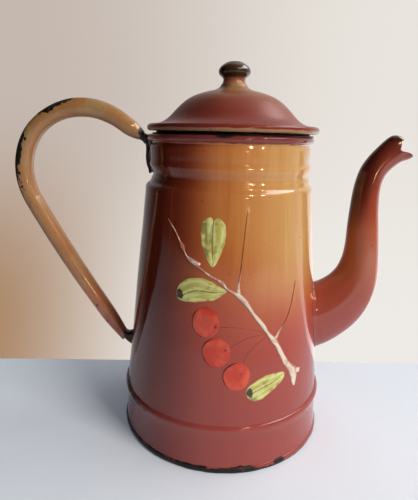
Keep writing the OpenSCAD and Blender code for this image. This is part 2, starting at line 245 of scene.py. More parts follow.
class Shader(Nodes):
    """A Principled material, with its base colour built up in layers."""

    def __init__(self, name, **uniform):
        self.material = bpy.data.materials.new(name)
        self.material.use_nodes = True
        super().__init__(self.material.node_tree)
        self.surface = self.tree.nodes["Principled BSDF"]
        for key, value in uniform.items():
            self.surface.inputs[key.replace("_", " ")].default_value = value
        self.place = self.add("TexCoord").outputs["Object"]
        self.x, self.y, self.z = self.add("SeparateXYZ", {0: self.place}).outputs

    def calc(self, operation, *values):
        return self.add("Math", dict(enumerate(values)), operation=operation).outputs[0]

    def less(self, a, b):
        return self.calc("SUBTRACT", a, b)

    def plus(self, *values):
        return reduce(lambda a, b: self.calc("ADD", a, b), values)

    def times(self, *values):
        return reduce(lambda a, b: self.calc("MULTIPLY", a, b), values)

    def largest(self, *values):
        return reduce(lambda a, b: self.calc("MAXIMUM", a, b), values)

    def sway(self, value, amount):
        """A noise as a shift to either side of zero."""
        return self.times(self.less(value, 0.5), amount)

    def off_middle(self, value):
        return self.calc("ABSOLUTE", self.less(value, 0.5))

    def stretched(self, *scale):
        return self.add("Mapping", {0: self.place, 3: scale}).outputs[0]

    def from_axis(self):
        flat = self.calc("SQRT", self.plus(self.times(self.x, self.x), self.times(self.y, self.y)))
        return self.largest(flat, 0.0005)

    def wrapped(self, turns, rise):
        """Coordinates round the pot's axis without a seam: turns sideways, rise upward."""
        far = self.from_axis()
        x, y = (self.times(self.calc("DIVIDE", v, far), turns) for v in (self.x, self.y))
        return self.vector(x, y, self.times(self.z, rise))

    def side(self):
        """-1 at the handle's side, 1 at the spout's side."""
        return self.calc("DIVIDE", self.x, self.from_axis())

    def vector(self, x, y, z):
        return self.add("CombineXYZ", {0: x, 1: y, 2: z}).outputs[0]

    def noise(self, scale, detail=3, rough=0.5, at=None):
        inputs = {"Vector": at or self.place, "Scale": scale, "Detail": detail, "Roughness": rough}
        return self.add("TexNoise", inputs).outputs["Fac"]

    def ramp(self, value, *stops):
        """Colours eased between stops (height, r, g, b)."""
        low, high = stops[0][0] * MM, stops[-1][0] * MM
        fraction = self.add("MapRange", {0: value, 1: low, 2: high}).outputs[0]
        node = self.add("ValToRGB", {0: fraction})
        node.color_ramp.interpolation = "EASE"
        elements = node.color_ramp.elements
        while len(elements) < len(stops):
            elements.new(0.5)
        for element, (at, *colour) in zip(elements, stops):
            element.position = (at * MM - low) / (high - low)
            element.color = rgb(*colour)
        return node.outputs[0]

    def tint(self, over, *masks):
        """Lay a colour over what is there, as far as the product of the masks says."""
        self.colour = self.mix(self.times(*masks), self.colour, over)

    def patches(self, ragged, *spots):
        """1 inside any of the spots (centre, radii), with a ragged edge."""
        masks = []
        for centre, radii in spots:
            away = {0: self.place, 1: [1 / (r * MM) for r in radii]}
            away[2] = [-c / r for c, r in zip(centre, radii)]
            scaled = self.add("VectorMath", away, operation="MULTIPLY_ADD").outputs[0]
            reach = self.add("VectorMath", {0: scaled}, operation="LENGTH").outputs["Value"]
            masks.append(self.step(self.plus(reach, ragged), 0.92, 1.06, 1, 0))
        return self.largest(*masks)

    def bump(self, height, strength, distance):
        inputs = {"Strength": strength, "Distance": distance * MM, "Height": height}
        node = self.add("Bump", inputs)
        normal = self.surface.inputs["Normal"]
        if normal.links:
            self.feed(node.inputs["Normal"], normal.links[0].from_socket)
        self.feed(normal, node.outputs[0])

    def finish(self, rough):
        self.feed(self.surface.inputs["Base Color"], self.colour)
        self.feed(self.surface.inputs["Roughness"], rough)
        return self.material

    def enamel(self, chips, rough=(0.05, 0.15)):
        """Glass enamel over sheet iron: orange peel, grime, and bare iron in the chips."""
        fine, broad = self.noise(900, 2), self.noise(55, 4, 0.6)
        self.tint((70, 40, 28), self.step(self.noise(620, 1, 0.4), 0.75, 0.79), 0.55)
        iron = self.mix(self.step(self.noise(420, 4), 0.52, 0.8), BLACK_IRON, RUST)
        self.tint(iron, chips)
        shine = self.plus(self.step(broad, 0.3, 0.75, *rough), self.times(chips, 0.42))
        self.bump(fine, 0.16, 0.05)
        self.bump(broad, 0.22, 0.3)
        self.bump(self.less(1, chips), 0.9, 0.22)
        return self.finish(shine)


# ---- Materials ----


def pot_enamel():
    s = Shader("enamel_body", IOR=1.52, Specular_IOR_Level=0.42)
    side = s.side()
    drift = s.noise(22, 3, 0.55, s.stretched(1, 1, 0.5))
    streak = s.noise(1.3, 4, 0.62, s.wrapped(6.5, 7))
    fine = s.noise(1.3, 3, 0.6, s.wrapped(26, 12))
    wide = s.noise(1, 2, 0.5, s.wrapped(2.2, 4))
    # Painted light and shade: the colour ramp is shifted by side, so the paint sits lower and
    # redder toward the shaded handle side and higher toward the lit spout side.
    lean = s.times(s.less(side, 0.1), 0.004)
    level = s.plus(s.z, s.sway(drift, 0.022), s.sway(wide, 0.02), lean)
    s.colour = s.ramp(
        level, (0, 164, 73, 65), (42, 165, 73, 64), (66, 168, 72, 60), (80, 170, 67, 49),
        (100, 178, 76, 48), (124, 192, 104, 56), (152, 200, 126, 64), (200, 200, 126, 64),
    )
    gold = s.step(level, 90 * MM, 142 * MM)
    # Painted light and shade: a lighter gold toward the lit spout side, and a redder brown toward
    # the shaded handle side.
    s.tint((200, 150, 90), s.step(side, 0, 0.75), gold)
    s.tint((172, 74, 46), s.step(side, 0.12, -0.6), gold)
    # Painted shade: the handle side is darkened toward a dark brown, more strongly higher up the
    # body.
    painted_shade_edge = s.plus(side, s.sway(wide, 0.25))
    painted_shade = s.times(s.step(painted_shade_edge, -0.12, -0.72), s.step(s.z, 20 * MM, 120 * MM, 0.62, 0.9))
    s.tint(s.ramp(s.z, (30, 108, 44, 38), (120, 88, 28, 18)), painted_shade)
    s.tint((216, 174, 112), s.step(streak, 0.52, 0.72), s.step(side, -0.35, 0.5), gold, 0.34)
    s.tint((170, 88, 42), s.step(streak, 0.46, 0.28), gold, 0.4)
    s.tint((160, 84, 40), s.step(fine, 0.5, 0.8), gold, 0.22)
    edge = s.sway(s.noise(1, at=s.wrapped(9, 30)), 0.0022)
    s.tint((124, 54, 50), s.step(s.plus(s.z, edge), (rim_z - 4.5) * MM, (rim_z - 3.7) * MM))
    lie = s.plus(s.z, s.sway(s.noise(210, 4, 0.62), 0.005))
    lie = s.less(lie, s.step(side, 0.62, 0.1, 0, 2.3 * MM))
    low = s.step(lie, 1.2 * MM, 1.6 * MM, 1, 0)
    top_rag = s.noise(1, 4, 0.65, s.wrapped(26, 180))
    high = s.step(
        s.less(s.z, s.times(s.less(0.6, top_rag), 0.016)), (rim_z - 0.3) * MM, (rim_z - 0.05) * MM
    )
    nicks = s.patches(
        s.sway(s.noise(330), 1.1),
        ((-63.4, -23.8, 32.6), (3, 4, 2.4)), ((-61.2, -30.7, 30.6), (3, 4, 1.7)),
        ((-57.4, -38.9, 29.6), (4, 4, 1.5)), ((-53.2, -44.5, 28.6), (4, 4, 1.2)),
        ((-48, -50, 28.4), (2.6, 3, 0.9)), ((16, -68.5, 2.4), (12, 4, 2.6)),
        ((38, -58.8, 2.6), (4, 5, 1.8)), ((-42, -55.5, 2), (9, 7, 1.6)),
        ((-52, -6, 175), (2.2, 5, 3)), ((-50.6, -9.5, 184), (1.6, 2, 4.5)),
        ((-3.2, -51.8, 197.8), (5, 3, 0.9)), ((-49.2, -16, 168), (1.6, 2.2, 1)),
    )
    return s.enamel(s.largest(low, high, nicks))


def spout_enamel():
    s = Shader("enamel_spout", IOR=1.52)
    drift = s.noise(28, 3, 0.55, s.stretched(1, 1, 0.6))
    level = s.plus(s.z, s.sway(drift, 0.024))
    s.colour = s.ramp(
        level, (50, 160, 76, 72), (78, 160, 74, 64), (96, 160, 74, 54), (118, 168, 88, 56),
        (138, 170, 86, 52), (160, 152, 64, 44), (184, 142, 60, 42), (198, 100, 42, 31),
    )
    streak = s.noise(170, 3, 0.6, s.stretched(1, 1, 0.22))
    s.tint((168, 92, 56), s.step(streak, 0.5, 0.8), 0.3)
    hood = s.patches(s.times(drift, 0.3), ((104, 0, 200.4), (9, 8, 6)))
    s.tint((62, 27, 22), hood, 0.8)
    # Painted shade: at mid-height, the spout's side facing the pot is darkened to a near-black
    # brown.
    lean = s.less(s.x, s.times(s.z, 0.3))
    inner = s.times(s.step(lean, 46 * MM, 34 * MM), s.step(s.z, 105 * MM, 160 * MM))
    s.tint((66, 24, 19), inner, 0.88)
    scratch = s.step(s.noise(260, 2, 0.5, s.stretched(1.2, 1, 0.5)), 0.7, 0.74)
    elbow = s.patches(s.times(drift, 0.8), ((96, -14, 78), (14, 10, 16)))
    s.tint((206, 140, 104), scratch, elbow, 0.5)
    worn = s.patches(
        s.sway(s.noise(380), 1),
        ((116.4, 0, 188.2), (1.9, 3.6, 1.4)), ((109, 0, 200.2), (2.6, 3, 1.6)),
        ((106.5, -5.6, 192.4), (1.2, 1.3, 0.9)),
    )
    return s.enamel(worn)


def lid_enamel():
    s = Shader("enamel_lid", IOR=1.52, Specular_IOR_Level=0.18)
    top = knob_low.z
    s.colour = s.ramp(
        s.plus(s.z, s.sway(s.noise(34, 3, 0.55), 0.009)),
        (top - 24, 132, 60, 50), (top - 17, 130, 54, 42), (top - 10, 134, 64, 44),
        (top - 5.5, 146, 90, 60), (top - 2, 158, 116, 78), (top + 1.5, 162, 124, 84),
    )
    edge = s.plus(s.z, s.sway(s.noise(1, 4, at=s.wrapped(7, 30)), 0.0022))

    def over_hem(value, low, high, *ends):
        return s.step(value, (lid_low.z + low) * MM, (lid_low.z + high) * MM, *ends)

    s.tint((128, 48, 38), over_hem(edge, 4.3, 3.7))
    s.tint((166, 122, 84), over_hem(edge, 2, 1.65), 0.9)
    rag = s.noise(1, 4, 0.65, s.wrapped(24, 160))
    worn = s.times(s.step(rag, 0.6, 0.66), over_hem(s.z, 1.3, 0.9))
    # Painted shade: the lid is darkened toward its handle side.
    s.tint((92, 42, 32), s.step(s.side(), 0.1, -0.6), 0.55)
    rough = [over_hem(edge, 3.4, 5, *ends) for ends in ((0.12, 0.3), (0.2, 0.42))]
    return s.enamel(worn, rough)


def knob_enamel():
    s = Shader("enamel_knob", IOR=1.52)
    seat = knob_low.z
    wave = s.sway(s.noise(160), 0.003)
    s.colour = s.ramp(
        s.plus(s.z, wave), (seat, 166, 112, 72), (seat + 2.5, 176, 108, 72),
        (seat + 4.4, 140, 80, 48), (seat + 6.6, 52, 28, 14), (seat + 11, 62, 42, 25),
        (seat + 14.8, 92, 72, 48),
    )
    ragged = s.sway(s.noise(300), 0.9)
    chip = s.patches(ragged, ((knob_x + 1, -3.2, knob_high.z + 0.1), (4.4, 3, 1.7)))
    return s.enamel(chip, (0.08, 0.16))


def handle_enamel():
    s = Shader("enamel_handle", IOR=1.52)
    drift = s.noise(42, 4, 0.6)
    streak = s.noise(120, 3, 0.6, s.stretched(1, 1, 0.5))
    level = s.plus(s.z, s.sway(drift, 0.03))
    s.colour = s.ramp(
        level, (48, 214, 120, 94), (70, 210, 126, 86), (110, 184, 124, 80), (160, 180, 130, 86),
        (200, 172, 122, 76), (220, 166, 114, 68),
    )
    s.tint((196, 152, 104), s.step(drift, 0.52, 0.72), 0.5)
    s.tint((146, 98, 60), s.step(streak, 0.55, 0.8), 0.25)
    ragged = s.sway(s.noise(300, 4), 1.1)
    outer_chips = (
        (50, 26, 2.2), (53, 28, 3), (57, 28, 3.5), (61, 27, 3.9), (65, 25, 4), (69, 20, 3.2),
        (62, 60, 1.6), (65, 62, 1.6), (84, 18, 2.2), (88, 30, 3.6), (92, 36, 4.4), (96, 38, 4.9),
        (100, 37, 5), (104, 33, 4.8), (108, 28, 4.4), (112, 22, 4), (116, 17, 3.2),
        (121, 12, 2.6), (88, 82, 1), (96, 78, 1), (104, 76, 1.2), (214, 74, 1),
        (246, 20, 3), (248, 60, 2.4), (1, 40, 2.6), (228, 60, 0.8),
    )
    chips = s.patches(ragged, *((on_handle(at, turn), (r, r, r)) for at, turn, r in outer_chips))

    def along(turn, radii, *places):
        return s.patches(ragged, *((on_handle(at, turn), radii) for at in places))

    seam = along(74, (1.5, 2, 3.6), 112, 118, 124, 130)
    crackle = s.times(s.step(s.noise(620, 2), 0.55, 0.6), seam)
    s.tint((170, 152, 104), along(66, (4, 5, 6), 30, 36, 84, 92, 100), 0.35)
    s.tint((184, 96, 82), along(50, (5, 6, 6), 228, 236, 244), 0.5)
    return s.enamel(s.largest(chips, crackle), (0.1, 0.22))


def inside_enamel():
    s = Shader("enamel_inside", IOR=1.52)
    stain = s.noise(38, 4, 0.6, s.stretched(1, 1, 0.4))
    s.colour = s.mix(s.step(stain, 0.42, 0.75), (206, 200, 188), (158, 126, 92))
    tide = s.step(s.plus(s.z, s.times(stain, 0.02)), 0.125, 0.12)
    s.tint((140, 100, 66), tide, 0.45)
    none = s.step(s.noise(260, 2), 0.8, 0.83)
    return s.enamel(none, (0.14, 0.3))


def underside_enamel():
    s = Shader("enamel_underside", IOR=1.52)
    stain = s.noise(60, 4, 0.6)
    s.colour = s.mix(s.step(stain, 0.35, 0.75), (172, 138, 100), (124, 84, 56))
    none = s.step(s.noise(260, 2), 0.78, 0.82)
    return s.enamel(none, (0.2, 0.36))


def iron_finish(name):
    """Bare black iron with rust and shreds of old enamel."""
    s = Shader(name, IOR=1.5)
    rust = s.noise(240, 4, 0.65)
    shreds = s.step(s.noise(330, 3, 0.6), 0.6, 0.66)
    s.colour = s.mix(s.step(rust, 0.45, 0.72), BLACK_IRON, RUST)
    s.tint((94, 50, 44), shreds)
    s.bump(s.noise(700), 0.5, 0.15)
    s.bump(shreds, 0.7, 0.15)
    return s.finish(s.step(rust, 0.3, 0.7, 0.3, 0.58))


def aluminium(name, base, dull, rough):
    """Thin aluminium: fine turning marks round the axis, grey coffee film and small scratches."""
    s = Shader(name, Metallic=1)
    film = s.noise(60, 4, 0.6)
    s.colour = s.mix(s.step(film, 0.4, 0.75), base, dull)
    s.bump(s.noise(1, 3, 0.6, s.wrapped(1.2, 5200)), 0.16, 0.04)
    s.bump(s.noise(900, 3, 0.6, s.stretched(1, 0.16, 1)), 0.22, 0.04)
    return s.finish(s.step(film, 0.3, 0.8, rough, rough + 0.22))


BODY, SPOUT, LID, KNOB = pot_enamel(), spout_enamel(), lid_enamel(), knob_enamel()
HANDLE, INSIDE, UNDER = handle_enamel(), inside_enamel(), underside_enamel()
IRON = iron_finish("worn_iron")
RIVET = aluminium("rivet_steel", (150, 146, 140), (92, 80, 70), 0.3)
SPUN = aluminium("spun_aluminium", (214, 212, 208), (150, 140, 128), 0.24)
DRAWN = aluminium("drawn_aluminium", (206, 205, 202), (138, 128, 116), 0.2)

# ---- Mesh building ----


def smooth_path(points, gap=0.6):
    """Catmull-Rom curve through points (r, z); a point given twice keeps its corner."""
    points, out = [Vector(p) for p in points], []
    for a, b, c, d in zip(points[:1] + points, points, points[1:], points[2:] + points[-1:]):
        ab, bc, cd = (a - b).length, (b - c).length, (c - d).length
        if bc < 1e-6:
            continue
        straight = (c - b) / bc
        leave = ((b - a) / ab * bc + straight * ab) / (ab + bc) if ab > 1e-6 else straight
        enter = (straight * cd + (d - c) / cd * bc) / (bc + cd) if cd > 1e-6 else straight
        count = max(2, int(bc / gap))
        for k in range(count):
            t = k / count
            at_b, at_c = 2 * t**3 - 3 * t**2 + 1, 3 * t**2 - 2 * t**3
            leaving, entering = (t**3 - 2 * t**2 + t) * bc, (t**3 - t**2) * bc
            out.append(at_b * b + leaving * leave + at_c * c + entering * enter)
    return out + points[-1:]


def from_corner(r, z, *points):
    """Profile points given from a corner (r, z)."""
    return [(r + dr, z + dz) for dr, dz in points]


def left_of(path, i):
    along = (path[min(i + 1, len(path) - 1)] - path[max(i - 1, 0)]).normalized()
    return Vector((-along.y, along.x))


def offset_path(path, distance):
    return [p + distance * left_of(path, i) for i, p in enumerate(path)]


def round_end(a, b, steps=5):
    """Points of a half round between the two faces of a sheet, going from a to b."""
    middle, arm = (a + b) / 2, (a - b) / 2
    out = Vector((-arm.y, arm.x))
    turns = (pi * k / steps for k in range(1, steps))
    return [middle + arm * cos(turn) + out * sin(turn) for turn in turns]


def join(build, low, high, tone=0, closed=True):
    """Faces between two rows of vertices; a row of one vertex is a pole."""
    count = max(len(low), len(high))
    for j in range(count if closed else count - 1):
        m = (j + 1) % count
        corners = (low[j % len(low)], high[j % len(high)], high[m % len(high)], low[m % len(low)])
        build.faces.new(list(dict.fromkeys(corners))).material_index = tone


def add_ring(build, points):
    return [build.verts.new(point) for point in points]


def make_piece(name, build, materials, replaced=(), body="pot"):
    bmesh.ops.recalc_face_normals(build, faces=build.faces)
    mesh = bpy.data.meshes.new(name)
    build.to_mesh(mesh)
    build.free()
    for polygon in mesh.polygons:
        polygon.use_smooth = True
    for material in materials:
        mesh.materials.append(material)
    obj = place(name, mesh)
    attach(obj, body)
    if replaced:
        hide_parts(*replaced)
    return obj


def dented(x, y, z):
    """Slight unevenness of the wall, and the groove's ring a little off the axis."""
    fade = min(1, max(0, (z - 4) / 20)) * min(1, max(0, (rim_z - 6 - z) / 20))
    angle = atan2(y, x)
    lump = lumps(cos(angle) * 1.5, sin(angle) * 1.5, z / 42)
    small = lumps(cos(angle) * 4, sin(angle) * 4, z / 17 + 9)
    shift = cos(angle) * max(0, 1 - ((z - 174) / 8) ** 2) ** 2
    return (0.34 * lump + 0.12 * small) * fade + shift


def lathe(loop, centre_x=0, dents=False, tones=None, lip=None):
    """Body of revolution of a closed loop of (r, z) points, with a material index per point."""
    build = bmesh.new()
    rings = []
    for r, z in loop:
        if r < 1e-4:
            rings.append(add_ring(build, [(centre_x * MM, 0, z * MM)]))
            continue
        ring = []
        for a in (2 * pi * k / AROUND for k in range(AROUND)):
            x, y = cos(a), sin(a)
            far = r + (dented(x, y, z) if dents else 0) + (lip(a, r, z) if lip else 0)
            ring.append(((centre_x + far * x) * MM, far * y * MM, z * MM))
        rings.append(add_ring(build, ring))
    for i, ring in enumerate(rings):
        other = rings[(i + 1) % len(rings)]
        if len(ring) > 1 or len(other) > 1:
            join(build, ring, other, tones[i] if tones else 0)
    return build


# ---- Pot ----

FOOT_Z, SHOULDER_Z, GROOVE_Z = node_box("foot_band")[1].z, 165.5, neck_low.z
FOOT_R, SHOULDER_R = 67.7, 54.2
FOOT_SHEET, NECK_INNER_R = 1, 50.6
HOLE_R, HOLE_PITCH, HOLES_Z = 2, 7, 77  # of the strainer


def cone_at(z):
    return FOOT_R + (SHOULDER_R - FOOT_R) * (z - FOOT_Z) / (SHOULDER_Z - FOOT_Z)


def worn_lip(a, r, z):
    """The seam under the foot is battered: shallow notches on its outer face."""
    if r < base_r - 1.2:
        return 0
    bite = lumps(cos(a) * 9, sin(a) * 9, z / 6)
    fine = lumps(cos(a) * 40, sin(a) * 40, z)
    return -0.32 * max(0, bite + 0.1) - 0.1 * max(0, fine)


def make_base():
    outer = smooth_path(from_corner(
        base_r, 0, (-1.4, 0), (-0.5, 0.25), (-0.05, 1), (0, 1.9), (-0.22, 2.9), (-0.65, 3.55),
        (-1.1, 3.75), (-1.5, 3.5), (-1.8, 2.6), (-2.3, 1.4), (-3.2, SHEET),
    ), 0.3)
    underside = [Vector((r, 0)) for r in (0, 14, 28, 42, 54, 62, 66)]
    floor = [Vector((r, SHEET)) for r in (64, 52, 40, 26, 12, 0)]
    tones = [2] * (len(underside) - 1) + [0] * (len(outer) - 3) + [1] * (len(floor) + 4)
    build = lathe(underside + outer + floor, tones=tones, lip=worn_lip)
    make_piece("base_seam", build, [BODY, INSIDE, IRON], ["base_disc"])


def make_foot():
    outer = smooth_path([
        (base_r - 1.1, 3.2), (base_r - 0.95, 4.2), (68.78, 6.5), (68.45, 11), (68.25, 17),
        (68.4, 22), (68.75, 25.4), (69.15, 27.4), (69.4, 28.6), (69.38, 29.4), (69.12, 30.2),
        (68.65, 30.9), (68.05, 31.3), (67.4, 31.4), (66.9, 31.1), (66.7, 30.2),
    ], 0.4)
    inner = offset_path(outer, FOOT_SHEET)[::-1]
    top, bottom = round_end(outer[-1], inner[0]), round_end(inner[-1], outer[0])
    tones = [0] * (len(outer) + len(top) - 1) + [1] * (len(inner) + 1) + [0] * len(bottom)
    build = lathe(outer + top + inner + bottom, dents=True, tones=tones)
    make_piece("foot_wall", build, [BODY, INSIDE], ["foot_band"])


def make_wall():
    cone = [(cone_at(z), z) for z in (30.2, 40, 55, 70, 85, 100, 115, 130, 145, 157, 163.4)]
    outer = smooth_path(cone + [
        (54.3, 165.2), (54.15, 166.3), (53.75, 167.3), (53.05, 168.2), (52.2, 169),
        (51.6, 169.8), (51.32, 170.8), (51.2, 171.7), (50.9, 172.5), (50.55, 173.2),
        (50.42, 174.1), (50.5, 175.1), (50.85, 176.2), (51.35, 177.5), (51.75, 178.9),
        (51.98, 180), (51.95, 180.6), (51.62, 181.4), (51.46, 182.3), (51.5, 186.5),
        (51.55, 189.8), (51.48, 191.1), (51.2, 192.1), (50.85, 193), (50.7, 193.5),
        (51, rim_z - 4.5),
    ], 0.7)
    bead = smooth_path(from_corner(
        0, rim_z, (51, -4.5), (51.3, -4.15), (52.2, -3.75), (52.9, -3.2), (rim_r, -1.9),
        (53.05, -0.75), (52.4, -0.1), (51.75, 0), (51, -0.35), (50.5, -1.2), (50.2, -2.6),
        (50.1, -4.5),
    ), 0.35)
    inner = [
        Vector((min(p.x, NECK_INNER_R), p.y)) if p.y > GROOVE_Z + 6 else p
        for p in offset_path(outer, SHEET)[::-1]
    ]
    tones = [0] * (len(outer) + len(bead) - 4) + [1] * (len(inner) + 3)
    build = lathe(outer[:-1] + bead + inner[1:], dents=True, tones=tones)
    replaced = ["body_cone", "neck_ring"]
    drill_strainer(make_piece("body_wall", build, [BODY, INSIDE], replaced))


def drill_strainer(wall):
    """Holes through the wall behind the spout."""
    build = bmesh.new()
    for row in range(-2, 3):
        for k in (-1, 0) if row % 2 else (-1, 0, 1):
            y, z = (k + (row % 2) / 2) * HOLE_PITCH, HOLES_Z + row * HOLE_PITCH
            turn = Matrix.Translation(Vector((cone_at(HOLES_Z), y, z)) * MM)
            turn = turn @ Matrix.Rotation(pi / 2, 4, "Y")
            bmesh.ops.create_cone(
                build, cap_ends=True, segments=32, radius1=HOLE_R * MM, radius2=HOLE_R * MM,
                depth=14 * MM, matrix=turn,
            )
    mesh = bpy.data.meshes.new("drill")
    build.to_mesh(mesh)
    build.free()
    drill = place("drill", mesh)
    cut = wall.modifiers.new("holes", "BOOLEAN")
    cut.operation, cut.solver, cut.object = "DIFFERENCE", "EXACT", drill
    shown = wall.evaluated_get(bpy.context.evaluated_depsgraph_get())
    drilled = bpy.data.meshes.new_from_object(shown)
    wall.modifiers.clear()
    wall.data = drilled
    bpy.data.objects.remove(drill)


# ---- Spout ----

# Stations from root to beak: the inner edge's x and z, then the outer edge's
SPOUT_EDGES = [
    (60.6, 100.8, 65.6, 53.6), (66.6, 103.2, 74.5, 57.9), (72.6, 107.4, 83.5, 64.4),
    (76.8, 112.6, 92, 72.5), (79.2, 118.4, 98.4, 82), (80.5, 125, 102.6, 93),
    (81, 133, 104.4, 105.5), (81, 142.3, 103.6, 121.5), (81.4, 152.4, 101.7, 138),
    (82, 162.4, 99.8, 152.5), (83.2, 171.6, 99.1, 165.4), (85.6, 180.3, 100.6, 174),
    (89.6, 187.4, 104.2, 179.6), (94.9, 193.9, 108.8, 183.7), (100.2, 199.3, 111.9, 185.4),
    (103.7, 201.4, 114.2, 186.3), (107.4, 201.2, 115.9, 187.2), (110.3, 199.5, 116.9, 188),
]
SPOUT_ROOT_W, SPOUT_TIP_W = 16.5, 6.6
# How far along the stations the mouth's edge lies, at degrees from the inner edge
BEAK = [
    (0, 16.55), (25, 16.4), (45, 15.95), (65, 15.25), (80, 14.6), (92, 14.1), (102, 14.45),
    (114, 15.4), (130, 16.3), (150, 16.85), (180, 17),
]
BEAK_START, LAST = 12.5, len(SPOUT_EDGES) - 1
SPOUT_AROUND, SPOUT_ALONG = 96, 150
LIP_BULGE = 0.42


def station(t):
    """The edges at a place between stations, on a Catmull-Rom curve."""
    i = min(int(t), LAST - 1)
    u = t - i
    b, c = Vector(SPOUT_EDGES[i]), Vector(SPOUT_EDGES[i + 1])
    a = Vector(SPOUT_EDGES[i - 1]) if i else 2 * b - c
    d = Vector(SPOUT_EDGES[i + 2]) if i + 2 <= LAST else 2 * c - b
    bend, twist = 2 * a - 5 * b + 4 * c - d, 3 * b - a - 3 * c + d
    return 0.5 * (2 * b + (c - a) * u + bend * u**2 + twist * u**3)


def spout_at(t, a, inset):
    """Point on the spout at station t and angle a from its inner edge."""
    x0, z0, x1, z1 = station(t)
    half = hypot(x0 - x1, z0 - z1) / 2
    wide = SPOUT_ROOT_W + (SPOUT_TIP_W - SPOUT_ROOT_W) * (min(t, 15) / 15) ** 0.8
    flare = 0.8 * max(0, 1 - t / 0.22) ** 2
    reach, y = (1 + (flare - inset) / half) * cos(a) / 2, (wide - inset + flare) * sin(a)
    x, z = (x0 + x1) / 2 + (x0 - x1) * reach, (z0 + z1) / 2 + (z0 - z1) * reach
    wall = cone_at(z) + dented(60, y, z) - 0.15
    on_wall = sqrt(wall * wall - y * y)
    x = on_wall if t < 0.05 else x + (on_wall - cone_at(z)) * max(0, 1 - t) ** 2
    return Vector((x, y, z)) * MM


def spout_rows(inset):
    rows = []
    for k in range(SPOUT_ALONG + 1):
        s = LAST * (k / SPOUT_ALONG) ** 1.15
        row = []
        for j in range(SPOUT_AROUND):
            turn = 360 * j / SPOUT_AROUND
            end = between(BEAK, 180 - abs(180 - turn))
            squeeze = (end - BEAK_START) / (LAST - BEAK_START)
            t = s if s < BEAK_START else BEAK_START + (s - BEAK_START) * squeeze
            row.append(spout_at(t, radians(turn), inset))
        rows.append(row)
    return rows


def make_spout():
    outer, inner = spout_rows(0), spout_rows(SHEET)
    edge, lip, back = [], [], []
    for out, before, under in zip(outer[-1], outer[-2], inner[-1]):
        bulge = (out - before).normalized() * LIP_BULGE * MM
        peak = (out + under) / 2 + bulge
        lip.append(peak)
        edge.append((out * 3 + peak * 2) / 5 + bulge * 0.45)
        back.append((under * 3 + peak * 2) / 5 + bulge * 0.45)
    build = bmesh.new()
    rings = [add_ring(build, row) for row in outer + [edge, lip, back] + inner[::-1]]
    for i, ring in enumerate(rings):
        join(build, ring, rings[(i + 1) % len(rings)], 0 if i <= len(outer) else 1)
    make_piece("gooseneck", build, [SPOUT, INSIDE], ["spout_left", "spout_right"])


# ---- Handle ----


def cap_and_join(build, rings):
    for low, high in zip(rings, rings[1:]):
        join(build, low, high)
    build.faces.new(rings[0])
    build.faces.new(rings[-1])


def tube(build, places, radii, sides):
    """Closed tube round a path in the plane y = 0; each place is (x, z, heading)."""
    turns = [2 * pi * j / sides for j in range(sides)]
    cap_and_join(build, [
        add_ring(build, [
            Vector((x - r * cos(a) * sin(way), r * sin(a), z + r * cos(a) * cos(way))) * MM
            for a in turns
        ])
        for (x, z, way), r in zip(places, radii)
    ])


def make_handle():
    count = 260
    steps = [HANDLE_LENGTH * k / count for k in range(count + 1)]
    places, radii = [stray_place(s) for s in steps], [handle_radius(s) for s in steps]
    places = places[:1] + places + places[-1:]
    radii = [radii[0] - 0.8] + radii + [radii[-1] - 0.8]
    build = bmesh.new()
    tube(build, places, radii, 48)
    make_piece("handle_loop", build, [HANDLE], ["handle_tube"])


def make_top_bracket():
    """A strap up the neck and round its rim, and a stub that goes into the handle's nose."""
    g = GROOVE_Z
    path = smooth_path([
        (50.6, g), (50.6, g + 1.5), (51, g + 3.5), (51.8, g + 5.6), (52.2, g + 8),
        (52.3, rim_z - 7), (52.7, rim_z - 5), (53.35, rim_z - 3.6), (53.5, rim_z - 2),
        (53.5, rim_z - 0.4),
    ], 0.7)
    loop = path + offset_path(path, -1.7)[::-1]
    half = 7 / 52
    turns = [pi - half + 2 * half * k / 16 for k in range(17)]
    build = bmesh.new()
    rings = [
        add_ring(build, [Vector((p.x * cos(a), p.x * sin(a), p.y)) * MM for p in loop])
        for a in turns
    ]
    for low, high in zip(rings, rings[1:]):
        join(build, low, high)
    for ring in (rings[0], rings[-1]):
        for j in range(len(path) - 1):
            build.faces.new([ring[j], ring[j + 1], ring[-2 - j], ring[-1 - j]])
    places = [(-53.6 - 0.6 * k, rim_z - 3.6 + 0.34 * k, radians(150)) for k in range(11)]
    tube(build, places, [3.6, 3.3, 3, 2.8, 2.7, 2.7, 2.75, 2.8, 2.8, 2.7, 2.4], 32)
    obj = make_piece("top_bracket", build, [IRON], ["handle_top_bracket"])
    bevel = obj.modifiers.new("soft_edges", "BEVEL")
    bevel.width, bevel.segments, bevel.harden_normals = 0.45 * MM, 3, True
    bevel.limit_method, bevel.angle_limit = "ANGLE", radians(50)


def make_bottom_bracket():
    """A squarish stub that widens from the handle's tail to the wall."""
    end_x, end_z, _ = handle_place(HANDLE_LENGTH)
    outline = [  # x and z from the handle's end, half height, half width
        (-1.6, 5.2, 2.4, 3.3), (0.4, 2, 3.3, 3.6), (2.6, 0.6, 3.9, 3.6), (5, 0.2, 5.2, 3.7),
        (7.4, 0, 6.6, 3.9),
    ]
    corners = []  # y and z of a squarish round
    for a in (2 * pi * j / 40 for j in range(40)):
        square = 1 + 0.16 * sin(2 * a) ** 2
        corners.append((sin(a) * square, cos(a) * square))
    build = bmesh.new()
    cap_and_join(build, [
        add_ring(build, [
            Vector((end_x + x, wide * y, end_z + z + tall * up)) * MM for y, up in corners
        ])
        for x, z, tall, wide in outline
    ])
    obj = make_piece("bottom_bracket", build, [IRON], ["handle_bottom_bracket"])
    smooth = obj.modifiers.new("smooth", "SUBSURF")
    smooth.levels = smooth.render_levels = 2


# ---- Lid ----


